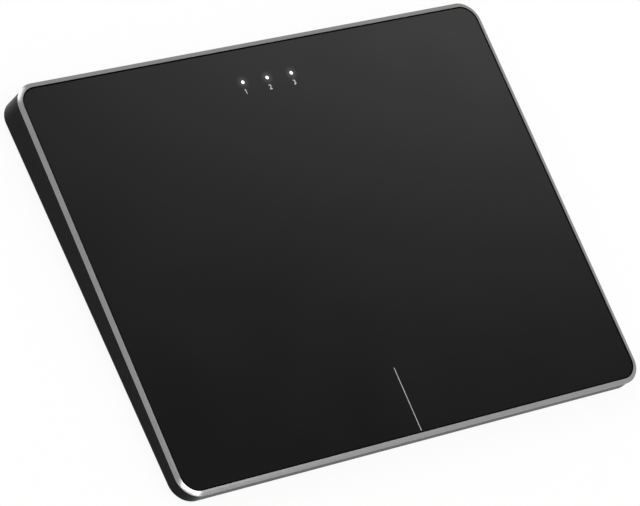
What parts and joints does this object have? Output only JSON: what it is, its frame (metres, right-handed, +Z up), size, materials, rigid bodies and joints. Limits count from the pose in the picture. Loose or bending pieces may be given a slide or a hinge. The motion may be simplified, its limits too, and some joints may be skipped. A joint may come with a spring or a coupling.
{
  "type": "trackpad",
  "caption": "Wedge-shaped wireless trackpad: a hinged touch plate that clicks, set in a bright chamfered bezel on a black case, with channel lights and underside controls.",
  "frame": {"origin": "centre of the footprint on the desk, at the bottom of the rubber feet", "axes": "+X to the user's right, +Y to the back, +Z up from the desk"},
  "size_m": [0.16, 0.121, 0.0112],
  "materials": {
    "touch_glass": "satin etched, black behind",
    "mark_print": "printed",
    "bond_film": "translucent film",
    "circuit_board": "solder mask",
    "spring_steel": "rolled",
    "lens_white": "clear, lit",
    "lamp_white": "moulded",
    "chip_black": "moulded",
    "socket_cream": "moulded",
    "switch_grey": "moulded",
    "plunger_dark": "moulded",
    "soft_rubber": "soft",
    "bezel_aluminium": "cut chamfer",
    "case_black": "fine blasted",
    "cover_black": "fine spark",
    "foot_rubber": "soft",
    "screw_steel": "dark plated",
    "shield_tin": "tinned",
    "port_steel": "plated",
    "cable_film": "laminated",
    "cell_foil": "laminated foil",
    "tape_white": "tissue tape",
    "guard_amber": "taped board",
    "lead_red": "insulated",
    "lead_black": "insulated",
    "plug_white": "moulded",
    "control_black": "moulded"
  },
  "bodies": {
    "base": {"bezel_ring": "bezel_aluminium", "case_frame": "case_black", "bottom_cover": "cover_black", "cover_screws": "screw_steel", "foot_front_left": "foot_rubber", "foot_front_right": "foot_rubber", "foot_back_left": "foot_rubber", "foot_back_right": "foot_rubber", "stop_bumper_left": "soft_rubber", "hinge_bracket_left": "spring_steel", "hinge_pin_left": "port_steel", "stop_bumper_right": "soft_rubber", "hinge_bracket_right": "spring_steel", "hinge_pin_right": "port_steel", "hinge_screws": "screw_steel", "main_board": "circuit_board", "board_screws": "screw_steel", "controller_chip": "chip_black", "charge_chip": "chip_black", "radio_module": "shield_tin", "port_shell": "port_steel", "port_tongue": "chip_black", "flex_cable": "cable_film", "flex_socket_main": "socket_cream", "battery_cell": "cell_foil", "battery_tape": "tape_white", "battery_guard": "guard_amber", "battery_lead_red": "lead_red", "battery_lead_black": "lead_black", "battery_plug": "plug_white", "battery_socket": "plug_white", "power_switch": "switch_grey", "channel_switch": "switch_grey"},
    "touch_pad": {"touch_plate": "touch_glass", "bond_sheet": "bond_film", "sensor_board": "circuit_board", "stiffener": "spring_steel", "divider_mark": "mark_print", "indicator_lens_1": "lens_white", "indicator_lens_2": "lens_white", "indicator_lens_3": "lens_white", "indicator_lamp_1": "lamp_white", "indicator_lamp_2": "lamp_white", "indicator_lamp_3": "lamp_white", "touch_chip": "chip_black", "flex_socket_pad": "socket_cream", "click_switch_left": "switch_grey", "click_switch_right": "switch_grey"},
    "click_plunger_left": {"click_plunger_left": "plunger_dark"},
    "click_plunger_right": {"click_plunger_right": "plunger_dark"},
    "power_slider": {"power_slider": "control_black", "power_stem": "socket_cream"},
    "channel_button": {"channel_button": "control_black", "channel_plunger": "plunger_dark"}
  },
  "joints": [
    {"name": "pad_click", "type": "hinge", "parent": "base", "child": "touch_pad", "pos_m": [0, 0.0528, 0.00682], "axis": [1, 0, 0], "range_deg": [0, 0.16], "stiffness_Nm_per_rad": 23, "springref_deg": -0.3},
    {"name": "click_left", "type": "slide", "parent": "touch_pad", "child": "click_plunger_left", "axis": [0, -0.0406, 0.9992], "range_m": [0, 0.0003]},
    {"name": "click_right", "type": "slide", "parent": "touch_pad", "child": "click_plunger_right", "axis": [0, -0.0406, 0.9992], "range_m": [0, 0.0003]},
    {"name": "power_slide", "type": "slide", "parent": "base", "child": "power_slider", "axis": [1, 0, 0], "range_m": [0, 0.002]},
    {"name": "channel_press", "type": "slide", "parent": "base", "child": "channel_button", "axis": [0, 0, 1], "range_m": [0, 0.0003], "stiffness_N_per_m": 3000, "springref_m": -0.0002}
  ],
  "couplings": [
    {"joint": "click_left", "follows": "pad_click", "m_per_rad": 0.1025},
    {"joint": "click_right", "follows": "pad_click", "m_per_rad": 0.1025}
  ]
}
